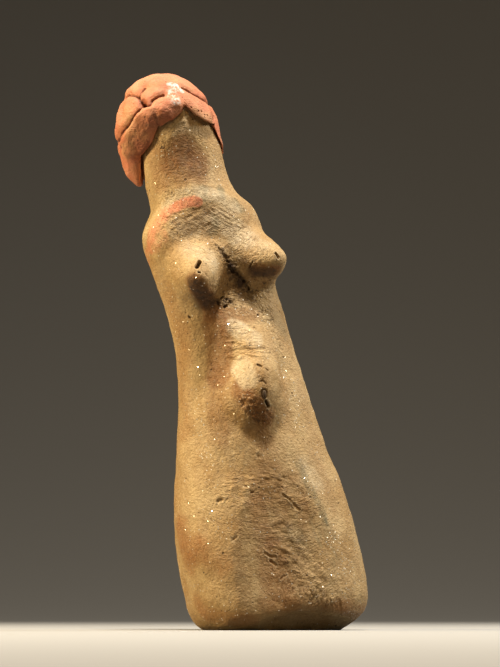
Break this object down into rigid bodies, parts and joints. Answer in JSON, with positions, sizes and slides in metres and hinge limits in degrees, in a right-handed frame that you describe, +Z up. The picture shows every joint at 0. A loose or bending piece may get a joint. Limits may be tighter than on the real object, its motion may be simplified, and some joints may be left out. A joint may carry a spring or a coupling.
{
  "type": "ritual doll",
  "caption": "Hand-modelled solid clay doll: a leaning, armless standing figure with a blank face, pinched breasts and navel, under a cap of red clay hair pads with a hanging lock.",
  "frame": {"origin": "middle of the flat resting face under the foot", "axes": "+Z up through the figure, which faces -Y and leans towards -X; +X is its own left side"},
  "size_m": [0.0911, 0.052, 0.197],
  "materials": {
    "clay": "matte, wiped and burnished in places, with glinting mica",
    "ochre_hair": "matte red ochre slip, worn pale on the high spots"
  },
  "bodies": {
    "root": {"clay_figure": "clay", "hair_cap": "ochre_hair"}
  },
  "joints": []
}
